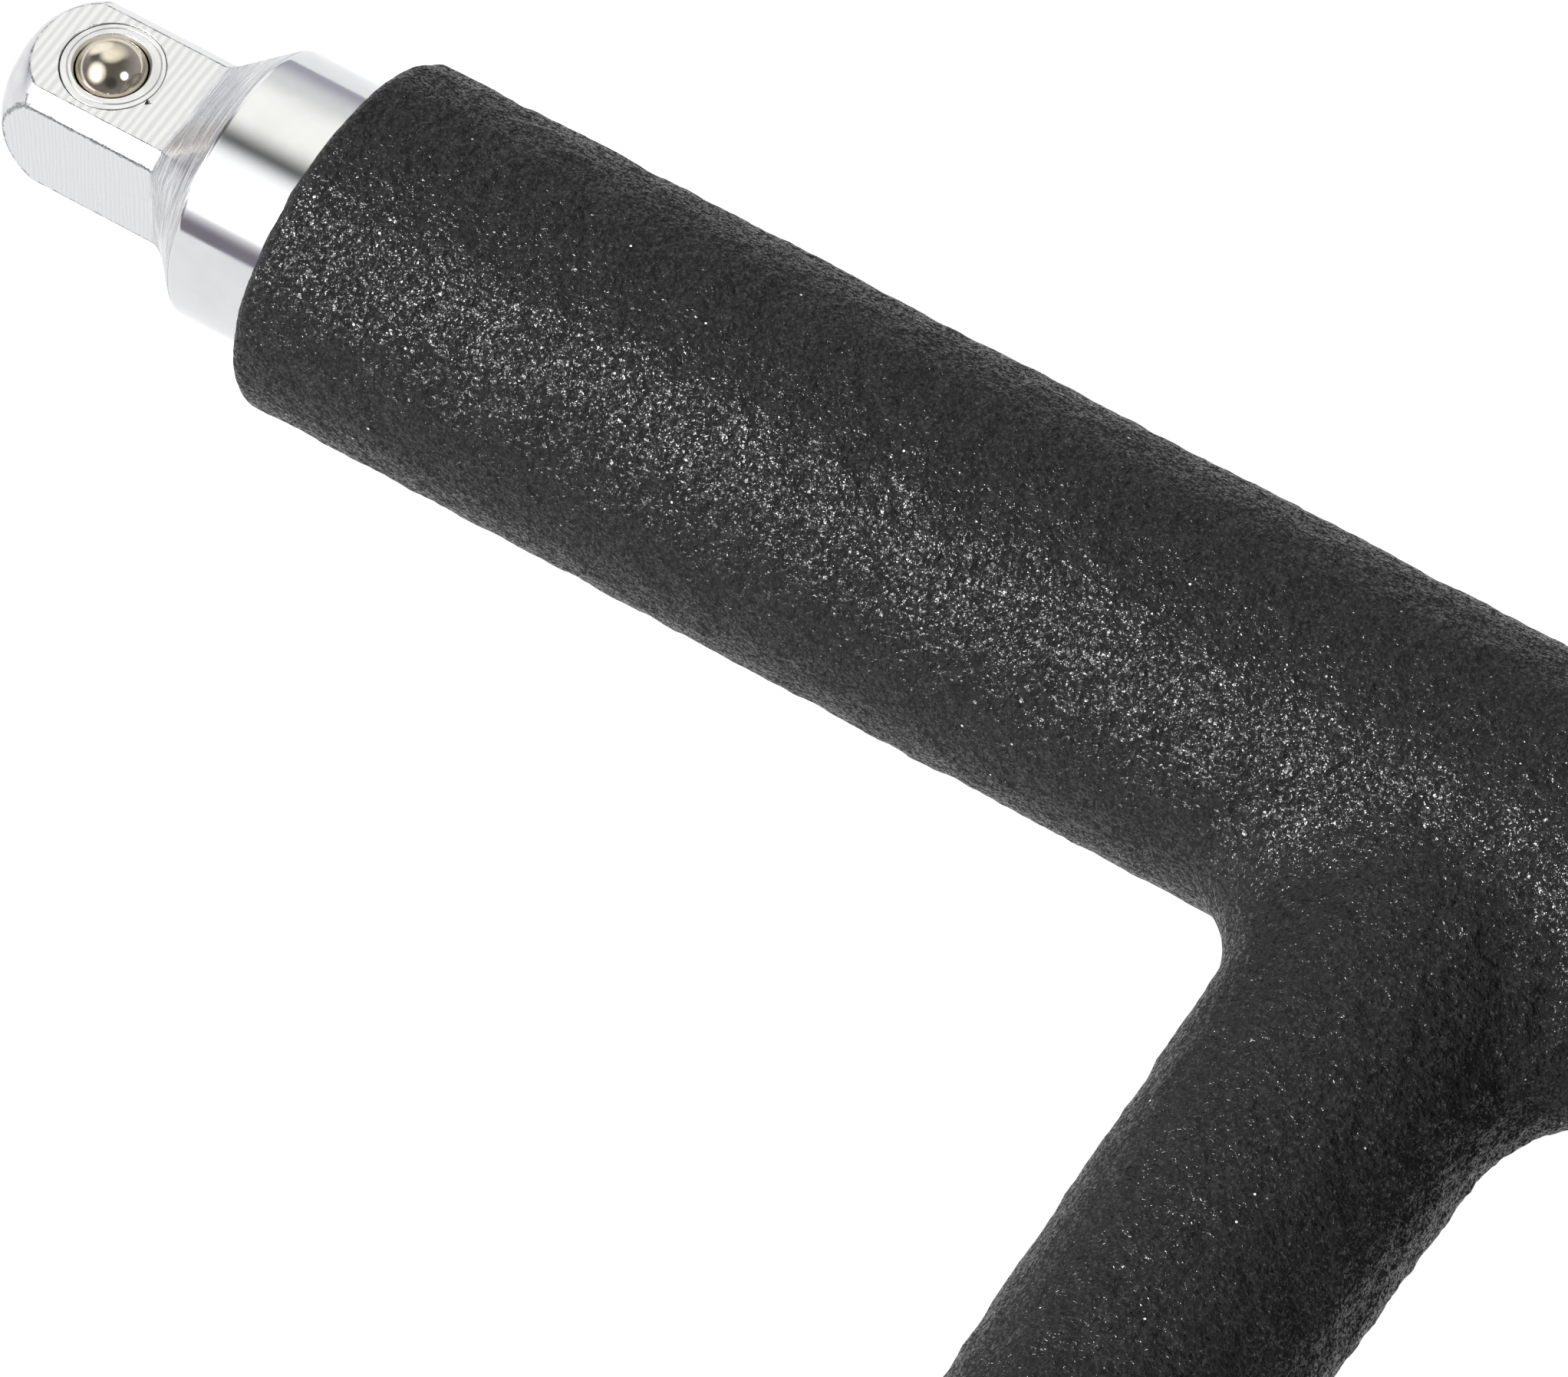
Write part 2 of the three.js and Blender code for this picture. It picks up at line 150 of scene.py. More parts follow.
ARM_RIM = 1.4
FRONT_SKEW = 0.72                # the moulded end runs this far nearer the drive low on the lever's side
SKEW_LENGTH = 14.0
SKEW_TOWARDS = (-0.87, -0.5)     # Y and Z of that direction
BRANCH_R = 13.2
BRANCH_DRAFT = 0.0183
BRANCH_STATIONS = (34.0, 60.0)
FILLET_FRONT = 9.2
FILLET_REAR = 12.3
FILLET_AT = 20.0                 # the fillet is rolled against the branch's radius here
BORE_GAP = 0.02                  # between a moulding and its tube
GRIP_NOSE = 4.0                  # radius of the grip's end towards the crossbar
GRIP_TAIL = 0.8                  # and of its other end
GRIP_BORE_EDGE = 0.4
LUMPS = ((3.1, 0.095, 1), (1.5, 0.065, 2))    # size, height and seed of the skin's unevenness
SMALL_LUMPS = (0.85, 0.04, 3)
WAVES = (21.0, 0.06, 4)          # as strong everywhere
LUMP_SINK = 0.2                  # the skin lies this far inside the CAD model's box where it would touch

# ---------------------------------------------------------------- shapes of the lever and caps, in mm

LEVER_BORE_R = 6.0
LEVER_EDGE = 0.4
SADDLE_GAP = 0.3                 # between the lever's root and the crossbar tube
SADDLE_TOOL = 300.0              # length of the cylinder that cuts the root
REAR_SPIGOT_R = 8.2
LEVER_SPIGOT_R = 5.7
CAP_CHAMFER = 1.0                # at the spigot's end
CAP_HEAD = 8.0
CAP_ROUND = 2.5
CAP_RING = ((5.2, 0.0), (5.4, 0.35), (6.2, 0.35), (6.4, 0.0))    # groove: in from the edge, depth
CAP_EDGE = 0.15

# ---------------------------------------------------------------- how finely the meshes are made

TAU = 2 * math.pi
VOXEL = 0.42
TURNED = 160                     # segments round a turned piece that is seen from afar
FINELY_TURNED = 240              # and round one that is seen close up
FLAT_SEGMENTS = 100
CHAMFER_SEGMENTS = 26
CROWDING = 0.8                   # how much those draw together at the chamfers' edges
NOSE_FACE_RINGS = (0.6, 1.3, 2.0)
NOSE_RINGS = 70
FLATS_STEP = 0.12
SHOULDER_RINGS = 64
NECK_RINGS = 28
SUPPORT = 0.1                    # rings this far off a corner keep the shading flat beside it
BALL_CUTS = 31
SPRING_STEPS = 44
WIRE_SIDES = 16
TOOL_RUN = 20.0                  # a cutting tool runs this far past what it cuts
SHARP_ANGLE = math.radians(50)   # a crease steeper than this is shaded as an edge
ARC_SHARE = 0.45                 # most of a side that one rounded corner may take up
ARC_LEAD = 0.4                   # supporting points beyond an arc, as a share of its reach


# ---------------------------------------------------------------- mesh helpers

def mesh_object(name, points, faces, smooth=True):
    mesh = bpy.data.meshes.new(name)
    mesh.from_pydata((np.asarray(points) * MM).tolist(), [], [list(f) for f in faces])
    mesh.validate()
    mesh.update()
    made = bpy.data.objects.new(name, mesh)
    bpy.context.scene.collection.objects.link(made)
    if smooth:
        mesh.shade_smooth()
    return made


def skin(rings, loop=False):
    """Points and faces over a stack of closed rings, capped with fans or joined end to end."""
    rings = np.asarray(rings, float)
    rows, count, _ = rings.shape
    points = rings.reshape(-1, 3)
    low = np.arange(rows if loop else rows - 1)[:, None] * count
    high = (low + count) % (rows * count)
    i = np.arange(count)
    j = (i + 1) % count
    faces = np.stack([low + i, low + j, high + j, high + i], -1).reshape(-1, 4).tolist()
    if not loop:
        first, last = len(points), len(points) + 1
        top = (rows - 1) * count
        points = np.vstack([points, rings[0].mean(0), rings[-1].mean(0)])
        faces += [(b, a, first) for a, b in zip(i.tolist(), j.tolist())]
        faces += [(top + a, top + b, last) for a, b in zip(i.tolist(), j.tolist())]
    return points, faces


def along_x(radius, angle, station):
    return np.stack(np.broadcast_arrays(station, radius * np.cos(angle), radius * np.sin(angle)), -1)


def along_z(radius, angle, station, x=0.0):
    return np.stack(np.broadcast_arrays(x + radius * np.cos(angle), radius * np.sin(angle), station), -1)


def along_lever(radius, angle, station):
    """Stations count from the crossbar's axis down the lever."""
    x = LEVER_X + radius * np.cos(angle)
    return np.stack(np.broadcast_arrays(x, -station, radius * np.sin(angle)), -1)


def soften(profile, size, steps=5):
    """A [radius, station] outline with every corner between its ends turned into an arc."""
    profile = [np.array(p, float) for p in profile]
    made = [profile[0]]
    for before, corner, after in zip(profile, profile[1:], profile[2:]):
        back, ahead = before - corner, after - corner
        reach = min(size, ARC_SHARE * np.linalg.norm(back), ARC_SHARE * np.linalg.norm(ahead))
        start = corner + back / np.linalg.norm(back) * reach
        end = corner + ahead / np.linalg.norm(ahead) * reach
        made.append(start + (start - corner) * ARC_LEAD)
        for t in np.linspace(0, 1, steps):
            made.append((1 - t) ** 2 * start + 2 * t * (1 - t) * corner + t ** 2 * end)
        made.append(end + (end - corner) * ARC_LEAD)
    made.append(profile[-1])
    return np.array(made)


def quarter_arc(steps, start=0.0):
    """Angles of a quarter turn."""
    return np.linspace(start, 1, steps) * math.pi / 2


def lathe(name, profile, place, segments=TURNED, loop=False):
    """A turned piece. The outline is walked so that the outside goes up the axis."""
    profile = np.asarray(profile, float)
    angle = np.linspace(0, TAU, segments, endpoint=False)
    return mesh_object(name, *skin(place(profile[:, :1], angle, profile[:, 1:]), loop))


def applied(made):
    """Replaces an object's mesh with what its modifiers make of it."""
    graph = bpy.context.evaluated_depsgraph_get()
    mesh = bpy.data.meshes.new_from_object(made.evaluated_get(graph))
    made.modifiers.clear()
    made.data = mesh
    return made


def cut(made, *tools):
    for tool in tools:
        modifier = made.modifiers.new("cut", "BOOLEAN")
        modifier.operation = "DIFFERENCE"
        modifier.solver = "MANIFOLD"
        modifier.object = tool
    applied(made)
    for tool in tools:
        bpy.data.objects.remove(tool)
    return made


def coordinates(mesh):
    points = np.zeros(len(mesh.vertices) * 3)
    mesh.vertices.foreach_get("co", points)
    return points.reshape(-1, 3) / MM


def set_coordinates(mesh, points):
    mesh.vertices.foreach_set("co", (points * MM).ravel())
    mesh.update()


def normals(mesh):
    found = np.zeros(len(mesh.vertices) * 3)
    mesh.vertices.foreach_get("normal", found)
    return found.reshape(-1, 3)


def soft_min(a, b, size):
    """The smaller of two values, rounded where they cross."""
    return 0.5 * (a + b - np.sqrt((a - b) ** 2 + size ** 2))


def smoothstep(low, high, value):
    t = np.clip((value - low) / (high - low), 0, 1)
    return t * t * (3 - 2 * t)


NOISE_OFFSET = (17.3, -9.1, 5.7)         # one seed's distance from the next
NOISE_GAIN = 1.6                         # brings the noise to about -1 to 1


def noise_field(points, size, height, seed):
    """Perlin noise of about that height at each point, with features of that size in mm."""
    offset = Vector([step * seed for step in NOISE_OFFSET])
    found = [noise.noise(Vector(p) / size + offset) for p in points.tolist()]
    return height * NOISE_GAIN * np.array(found)


# ---------------------------------------------------------------- node helpers

def add(tree, kind, inputs=None, **properties):
    made = tree.nodes.new(kind)
    for key, value in properties.items():
        setattr(made, key, value)
    for key, value in (inputs or {}).items():
        if isinstance(value, bpy.types.NodeSocket):
            tree.links.new(value, made.inputs[key])
        else:
            made.inputs[key].default_value = value
    return made


def calc(tree, operation, a, b=0.0, c=0.0, clamp=False):
    """One Math node's result."""
    made = add(tree, "ShaderNodeMath", {0: a, 1: b, 2: c}, operation=operation, use_clamp=clamp)
    return made.outputs[0]


def ramp(tree, value, low, high, to_low=0.0, to_high=1.0):
    """A smooth step from to_low to to_high as the value goes from low to high."""
    made = add(tree, "ShaderNodeMapRange", {"Value": value, "From Min": low, "From Max": high,
               "To Min": to_low, "To Max": to_high}, interpolation_type="SMOOTHSTEP")
    return made.outputs["Result"]


def mixed(tree, share, first, second):
    """A colour between two colours."""
    made = add(tree, "ShaderNodeMix", {0: share, 6: first, 7: second}, data_type="RGBA")
    return made.outputs[2]


def millimetres(tree):
    """The point on the piece, in millimetres of the row frame."""
    where = add(tree, "ShaderNodeTexCoord").outputs["Object"]
    return add(tree, "ShaderNodeVectorMath", {0: where, "Scale": 1 / MM}, operation="SCALE").outputs[0]


def grain(tree, where, size, detail=2.0, roughness=0.5, distortion=0.0):
    made = add(tree, "ShaderNodeTexNoise", {"Vector": where, "Scale": 1 / size, "Detail": detail,
               "Roughness": roughness, "Distortion": distortion})
    return made.outputs["Fac"]


def bumped(tree, height, depth, normal=None):
    """A bump whose height of 0 to 1 stands for that depth in millimetres."""
    inputs = {"Height": height, "Distance": depth * MM, "Strength": 1.0}
    if normal is not None:
        inputs["Normal"] = normal
    return add(tree, "ShaderNodeBump", inputs).outputs["Normal"]


def material(name):
    """A new material, its node tree and its Principled shader."""
    made = bpy.data.materials.new(name)
    made.use_nodes = True
    return made, made.node_tree, made.node_tree.nodes["Principled BSDF"]


def plug(tree, shader, **links):
    """Sets or links a shader's sockets. Underscores in the names stand for spaces."""
    for key, value in links.items():
        socket = shader.inputs[key.replace("_", " ")]
        if isinstance(value, bpy.types.NodeSocket):
            tree.links.new(value, socket)
        else:
            socket.default_value = value


def vector(tree, operation, a, b=(0, 0, 0), c=(0, 0, 0)):
    """One Vector Math node's result."""
    made = add(tree, "ShaderNodeVectorMath", {0: a, 1: b, 2: c}, operation=operation)
    return made.outputs["Vector"]


def cells_of(tree, where, size, feature="F1"):
    """A Voronoi node whose cells have that size in mm."""
    return add(tree, "ShaderNodeTexVoronoi", {"Vector": where, "Scale": 1 / size, "Randomness": 1.0},
               feature=feature)


def axes(tree, where):
    parts = add(tree, "ShaderNodeSeparateXYZ", {0: where})
    return parts.outputs["X"], parts.outputs["Y"], parts.outputs["Z"]


def specks(tree, where, spacing, share, size):
    """Sparse round specks: 1 inside one, 0 between them."""
    cells = cells_of(tree, where, spacing)
    pick = add(tree, "ShaderNodeSeparateColor", {0: cells.outputs["Color"]}).outputs[0]
    return calc(tree, "MULTIPLY", ramp(tree, pick, 1 - share, 1 - share * 0.7),
                ramp(tree, cells.outputs["Distance"], size / spacing, 0.5 * size / spacing))


def edge_wear_and_shade(tree, where):
    """1 on the drive's milled edges, 0 a little way off them, broken up along their length: real wear chips
    together with a painted dark edge line.
    """
    def distance(a, b):
        squares = calc(tree, "MULTIPLY", a, a), calc(tree, "MULTIPLY", b, b)
        return calc(tree, "SQRT", calc(tree, "ADD", *squares))

    x, y, z = axes(tree, where)
    y, z = calc(tree, "ABSOLUTE", y), calc(tree, "ABSOLUTE", z)
    larger, smaller = calc(tree, "MAXIMUM", y, z), calc(tree, "MINIMUM", y, z)
    chamfer = distance(calc(tree, "SUBTRACT", larger, SQUARE / 2),
                       calc(tree, "SUBTRACT", smaller, SQUARE / 2 - CORNER_CHAMFER))
    before = calc(tree, "SUBTRACT", 1.0, calc(tree, "MULTIPLY", x, 1 / NOSE_LENGTH, clamp=True))
    lift = calc(tree, "SQRT", calc(tree, "SUBTRACT", 1.0, calc(tree, "MULTIPLY", before, before)))
    nose = calc(tree, "MULTIPLY_ADD", lift, NOSE_ROUND_R - NOSE_FLAT_R, NOSE_FLAT_R)
    off_nose = calc(tree, "ABSOLUTE", calc(tree, "SUBTRACT", nose, distance(y, z)))
    off_square = calc(tree, "SUBTRACT", SQUARE / 2, larger)
    past_corner = calc(tree, "SUBTRACT", SQUARE - CORNER_CHAMFER, calc(tree, "ADD", y, z))
    off_corner = calc(tree, "MULTIPLY", past_corner, math.sqrt(0.5))
    off_prism = calc(tree, "ABSOLUTE", calc(tree, "MINIMUM", off_square, off_corner))
    nearest = calc(tree, "MINIMUM", chamfer, calc(tree, "MAXIMUM", off_nose, off_prism))

    wander = grain(tree, where, size=0.8, detail=3.0, roughness=0.6)
    # the dark band is wider on the square's sides: painted shade there, on top of the wear
    side = ramp(tree, calc(tree, "SUBTRACT", y, z), -0.3, 0.3, to_low=1.0, to_high=WEAR_AND_SHADE_ON_SIDES)
    reach = calc(tree, "MULTIPLY", ramp(tree, wander, 0.3, 0.7, *WEAR_AND_SHADE_REACH), side)
    worn_and_shaded = ramp(tree, calc(tree, "DIVIDE", nearest, reach), 1.0, 0.5)
    chips = ramp(tree, grain(tree, where, size=0.14, detail=1.0), 0.38, 0.52, to_low=0.35, to_high=1.0)
    on_flats = ramp(tree, x, FLATS_END_X + 1.0, FLATS_END_X + 0.2)
    return calc(tree, "MULTIPLY", calc(tree, "MULTIPLY", worn_and_shaded, chips), on_flats)


def worn_and_shaded_colour(tree, where, colour):
    """The chrome's colour, darkened along the milled edges by real wear and by a painted dark edge line."""
    share = calc(tree, "MULTIPLY", edge_wear_and_shade(tree, where), WEAR_AND_SHADE_STRENGTH)
    return mixed(tree, share, colour, WORN_EDGE_AND_SHADE)


# ---------------------------------------------------------------- metals

CHROME = (0.67, 0.675, 0.69, 1)
CHROME_DULL = (0.56, 0.56, 0.575, 1)
CHROME_SIDE = (0.63, 0.635, 0.65, 1)
CHROME_DARK = (0.36, 0.36, 0.375, 1)
CHROME_HAZY = (0.64, 0.645, 0.66, 1)
# painted shade mixed with wear: the dark colour along the drive's edges
WORN_EDGE_AND_SHADE = (0.07, 0.07, 0.075, 1)
WEAR_AND_SHADE_REACH = (0.03, 0.17)        # how far from an edge the wear and its painted dark edge line go, in mm
WEAR_AND_SHADE_ON_SIDES = 2.2              # and how many times as far on the square's sides, where the wider dark band is painted shade
WEAR_AND_SHADE_STRENGTH = 0.75
LINT = (0.9, 0.9, 0.9, 1)
BALL_DARK = (0.56, 0.50, 0.39, 1)
BALL_LIGHT = (0.68, 0.62, 0.51, 1)
STEEL = (0.35, 0.36, 0.38, 1)
STEEL_WELDED = (0.17, 0.16, 0.15, 1)
# painted shade: bare steel made dark where it lines the pocket and the nick
STEEL_SHADED_IN_POCKET = (0.16, 0.15, 0.14, 1)
WAVE_PERIOD = TAU / 20           # a Wave texture of scale 1 repeats at this distance


def polished_chrome():
    made, tree, shader = material("chrome_polished")
    where = millimetres(tree)
    haze = grain(tree, where, size=3.0, detail=4.0)
    pits = grain(tree, where, size=0.12, detail=1.0)
    base = mixed(tree, ramp(tree, haze, 0.35, 0.7), CHROME, CHROME_HAZY)
    dust = specks(tree, where, spacing=1.7, share=0.12, size=0.13)
    plug(tree, shader, Base_Color=mixed(tree, dust, worn_and_shaded_colour(tree, where, base), LINT),
         Metallic=calc(tree, "SUBTRACT", 1.0, dust),
         Roughness=ramp(tree, haze, 0.3, 0.75, to_low=0.075, to_high=0.12),
         Normal=bumped(tree, pits, depth=0.0006))
    return made


def milled_chrome(name, period, depth, ripple, groove):
    """Flats with the mill's lines across the crossbar, that far apart and deep, in mm."""
    made, tree, shader = material(name)
    where = millimetres(tree)
    wander = grain(tree, vector(tree, "MULTIPLY", where, (0.6, 0.12, 0.12)), size=1.0)
    aside = add(tree, "ShaderNodeCombineXYZ", {"X": calc(tree, "MULTIPLY", wander, ripple)}).outputs[0]
    lines = add(tree, "ShaderNodeTexWave", {"Vector": vector(tree, "ADD", where, aside),
                "Scale": WAVE_PERIOD / period, "Distortion": 0.0, "Detail": 0.0},
                bands_direction="X").outputs["Fac"]
    fine = grain(tree, vector(tree, "MULTIPLY", where, (9.0, 0.5, 0.5)), size=1.0, detail=3.0,
                 roughness=0.6)
    height = calc(tree, "MULTIPLY_ADD", fine, 0.5, lines)
    plug(tree, shader, Metallic=1.0,
         Base_Color=worn_and_shaded_colour(tree, where, mixed(tree, ramp(tree, lines, 0.0, 1.0), CHROME, groove)),
         Roughness=ramp(tree, fine, 0.3, 0.7, to_low=0.2, to_high=0.32),
         Normal=bumped(tree, height, depth))
    return made


def satin_chrome():
    made, tree, shader = material("chrome_satin")
    where = millimetres(tree)
    cloud = grain(tree, where, size=2.5, detail=4.0)
    base = mixed(tree, ramp(tree, cloud, 0.3, 0.7), CHROME, CHROME_DULL)
    plug(tree, shader, Metallic=1.0, Base_Color=worn_and_shaded_colour(tree, where, base),
         Roughness=ramp(tree, cloud, 0.3, 0.7, to_low=0.22, to_high=0.34),
         Normal=bumped(tree, grain(tree, where, size=0.25, detail=3.0), depth=0.002))
    return made


def brushed_chrome():
    """Lines round the crossbar, left by the lathe and the polishing belt."""
    made, tree, shader = material("chrome_brushed")
    where = millimetres(tree)
    x, y, z = axes(tree, where)
    turn = calc(tree, "ARCTAN2", z, y)
    across, round_it = 7.0, 2.2      # how finely the noise is drawn out each way
    swept = add(tree, "ShaderNodeCombineXYZ", {
        "X": calc(tree, "MULTIPLY", x, across),
        "Y": calc(tree, "MULTIPLY", calc(tree, "SINE", turn), round_it),
        "Z": calc(tree, "MULTIPLY", calc(tree, "COSINE", turn), round_it)}).outputs[0]
    lines = grain(tree, swept, size=1.0, detail=5.0, roughness=0.7)
    plug(tree, shader, Metallic=1.0,
         Base_Color=mixed(tree, ramp(tree, lines, 0.38, 0.62), CHROME_DARK, CHROME),
         Roughness=ramp(tree, lines, 0.3, 0.7, to_low=0.2, to_high=0.34),
         Normal=bumped(tree, lines, depth=0.03))
    return made


def ball_steel():
    made, tree, shader = material("bearing_steel_worn")
    where = millimetres(tree)
    film = grain(tree, where, size=1.4, detail=4.0)
    plug(tree, shader, Metallic=1.0,
         Base_Color=mixed(tree, ramp(tree, film, 0.3, 0.7), BALL_DARK, BALL_LIGHT),
         Roughness=ramp(tree, film, 0.3, 0.7, to_low=0.05, to_high=0.13),
         Normal=bumped(tree, grain(tree, where, size=0.3), depth=0.0008))
    return made


def plain_steel(name, colour, rough, marks):
    """Bare steel with cloudy marks of that size in mm."""
    made, tree, shader = material(name)
    where = millimetres(tree)
    cloud = grain(tree, where, size=marks, detail=5.0)
    darker = tuple(c * 0.7 for c in colour[:3]) + (1,)
    plug(tree, shader, Metallic=1.0,
         Base_Color=mixed(tree, ramp(tree, cloud, 0.35, 0.65), colour, darker),
         Roughness=ramp(tree, cloud, 0.3, 0.7, to_low=rough, to_high=rough + 0.15),
         Normal=bumped(tree, grain(tree, where, size=marks * 0.15, detail=3.0), depth=0.02))
    return made


# ---------------------------------------------------------------- rubber and nylon

# painted shade: the almost black colour of the crevices between the grains
RUBBER_CREVICE_SHADE = (0.0004, 0.0004, 0.0004, 1)
RUBBER_TOP = (0.0104, 0.0102, 0.0107, 1)
DUST = (0.45, 0.44, 0.42, 1)
NYLON_DARK = (0.010, 0.010, 0.011, 1)
NYLON_LIGHT = (0.016, 0.016, 0.017, 1)
FLAKE = 0.38                     # size of the moulding's grains, in mm
FLAKE_TILT = 0.45
FLAKE_WOBBLE = (0.4, 0.4, 0.4)   # how far the grains' outlines wander, in mm
MIDDLE = (0.5, 0.5, 0.5)


def grained_rubber():
    """Sand-grained moulding: crumpled grains at all angles, painted shade in the crevices, a little pale
    dust.
    """
    made, tree, shader = material("rubber_grained")
    where = millimetres(tree)
    wobble = add(tree, "ShaderNodeTexNoise", {"Vector": where, "Scale": 1 / 0.3, "Detail": 1.0})
    bent = vector(tree, "MULTIPLY_ADD", wobble.outputs["Color"], FLAKE_WOBBLE, where)
    flakes = cells_of(tree, bent, FLAKE).outputs["Color"]
    edges = cells_of(tree, bent, FLAKE, feature="DISTANCE_TO_EDGE").outputs["Distance"]
    crumple = grain(tree, bent, size=0.36, detail=1.5)
    swell = bumped(tree, grain(tree, where, size=1.1), depth=0.35)
    folded = bumped(tree, crumple, 0.19, swell)
    tilt = vector(tree, "SUBTRACT", flakes, MIDDLE)
    facet = vector(tree, "NORMALIZE", vector(tree, "MULTIPLY_ADD", tilt, (FLAKE_TILT,) * 3, folded))
    draws = add(tree, "ShaderNodeSeparateColor", {0: flakes})
    # 1 on the grains, 0 in the crevices between them, which take the painted shade colour
    raised_vs_shaded_crevice = calc(tree, "MULTIPLY", ramp(tree, crumple, 0.38, 0.58), ramp(tree, edges, 0.02, 0.16))
    gloss = ramp(tree, draws.outputs[1], 0.0, 1.0, to_low=0.2, to_high=0.33)
    bright = ramp(tree, draws.outputs[2], 0.0, 1.0, to_low=0.25, to_high=1.0)
    skin_colour = mixed(tree, calc(tree, "MULTIPLY", raised_vs_shaded_crevice, bright), RUBBER_CREVICE_SHADE, RUBBER_TOP)
    dust = specks(tree, where, spacing=1.5, share=0.1, size=0.13)
    dull = calc(tree, "SUBTRACT", 1.0, calc(tree, "MULTIPLY", raised_vs_shaded_crevice, 2.0), clamp=True)
    plug(tree, shader, Metallic=0.0, Base_Color=mixed(tree, dust, skin_colour, DUST),
         Roughness=calc(tree, "MAXIMUM", gloss, dull), Normal=facet)
    shader.inputs["Specular IOR Level"].default_value = 0.26
    return made


def cap_nylon():
    made, tree, shader = material("nylon_textured")
    where = millimetres(tree)
    cloud = grain(tree, where, size=4.0, detail=3.0)
    plug(tree, shader, Metallic=0.0,
         Base_Color=mixed(tree, ramp(tree, cloud, 0.3, 0.7), NYLON_DARK, NYLON_LIGHT),
         Roughness=ramp(tree, cloud, 0.3, 0.7, to_low=0.38, to_high=0.5),
         Normal=bumped(tree, grain(tree, where, size=0.25), depth=0.02))
    return made


# ---------------------------------------------------------------- drive anvil

def square_radius(angle):
    """Distance from the axis to the chamfered square's outline, its edges slightly broken."""
    c, s = np.abs(np.cos(angle)), np.abs(np.sin(angle))
    flat = SQUARE / 2 / np.maximum(c, s)
    return soft_min(flat, (SQUARE - CORNER_CHAMFER) / (c + s), CORNER_SOFT)


def square_angles():
    """Angles round the square, closest together at the edges of its chamfers."""
    edge = math.atan2(SQUARE / 2 - CORNER_CHAMFER, SQUARE / 2)
    bounds = [(-edge, edge, FLAT_SEGMENTS), (edge, math.pi / 2 - edge, CHAMFER_SEGMENTS)]
    made = []
    for quarter in range(4):
        for start, end, steps in bounds:
            t = np.linspace(0, 1, steps, endpoint=False)
            t = t - CROWDING * np.sin(TAU * t) / TAU
            made.append(quarter * math.pi / 2 + start + (end - start) * t)
    return np.concatenate(made)


def rounded_rise(t, start=0.1, end=0.93, foot=0.1, head=0.07):
    """Straight rise from 0 to 1 with a concave foot and a convex head."""
    def bend(u, size):
        return np.where(u < -size, 0, np.where(u > size, u, (u + size) ** 2 / (4 * size)))
    return (bend(t - start, foot) - bend(t - end, head)) / (end - start)


def nose_radius(x):
    """Radius of the turned nose, which the square is then milled into."""
    lift = np.sqrt(np.clip(1 - (1 - np.clip(x / NOSE_LENGTH, 0, 1)) ** 2, 0, 1))
    return np.where(x > NOSE_LENGTH, NOSE_ROUND_R, NOSE_FLAT_R + (NOSE_ROUND_R - NOSE_FLAT_R) * lift)


def anvil_body():
    """The drive in one piece: nose, square, shoulder, neck and the spigot inside the crossbar tube."""
    angle = square_angles()
    square = square_radius(angle)
    rings = [along_x(r, angle, 0.0) for r in NOSE_FACE_RINGS]
    nose_x = NOSE_LENGTH * (1 - np.cos(quarter_arc(NOSE_RINGS)))
    for x in np.concatenate([nose_x, np.arange(NOSE_LENGTH + SUPPORT, FLATS_END_X, FLATS_STEP)]):
        rings.append(along_x(soft_min(nose_radius(x), square, EDGE_SOFT), angle, x))
    square_end = soft_min(nose_radius(FLATS_END_X), square, EDGE_SOFT)
    for t in np.linspace(0, 1, SHOULDER_RINGS):
        mix = rounded_rise(t)
        radius = square_end * (1 - mix) + NECK_R * mix
        rings.append(along_x(radius, angle, FLATS_END_X + (NECK_X - FLATS_END_X) * t))
    chamfer_x = SPIGOT_X - NECK_CHAMFER
    shank = [(NECK_R, x) for x in np.linspace(NECK_X + SUPPORT, chamfer_x - 1.5 * SUPPORT, NECK_RINGS)]
    shank += [(NECK_R - SUPPORT / 2, chamfer_x - SUPPORT / 2), (NECK_R - NECK_CHAMFER, SPIGOT_X),
              (SPIGOT_R, SPIGOT_X), (SPIGOT_R, SPIGOT_END - SPIGOT_CHAMFER),
              (SPIGOT_R - SPIGOT_CHAMFER, SPIGOT_END)]
    rings += [along_x(r, angle, x) for r, x in shank]
    return cut(mesh_object("anvil_body", *skin(rings)), pocket_tool(), nick_tool())


def pocket_tool():
    """The cage's pocket in the top flat."""
    base, above, wide = CAGE_LOW[2] - POCKET_SPARE, FLAT_Z + TOOL_RUN, POCKET_R + POCKET_BREAK
    outline = [[0, base], [POCKET_R, base], [POCKET_R, FLAT_Z - POCKET_BREAK], [wide, FLAT_Z + 0.02],
               [wide, above], [0, above]]
    return flip_outward(lathe("pocket", outline, lambda r, a, s: along_z(r, -a, s, DETENT_X + CAGE_SHIFT)))


def nick_tool():
    x, y = NICK
    points = [(x + NICK_SIZE * math.cos(a), y + NICK_SIZE * math.sin(a), FLAT_Z + NICK_DEPTH)
              for a in NICK_CORNERS] + [(x, y, FLAT_Z - NICK_DEPTH)]
    made = mesh_object("nick", points, [(0, 1, 2), (1, 0, 3), (2, 1, 3), (0, 2, 3)], smooth=False)
    return flip_outward(made)


def flip_outward(made):
    """Turns every face to look out of the closed mesh."""
    mesh = bmesh.new()
    mesh.from_mesh(made.data)
    bmesh.ops.recalc_face_normals(mesh, faces=mesh.faces)
    mesh.to_mesh(made.data)
    mesh.free()
    return made


FLAT_FACING = 0.985              # a face turned this squarely to an axis belongs to a flat
NOSE_FACING = 0.12               # one turned this much towards the nose belongs to the nose
UNDER_FLAT = 0.08                # the pocket's own finish starts this far down its wall


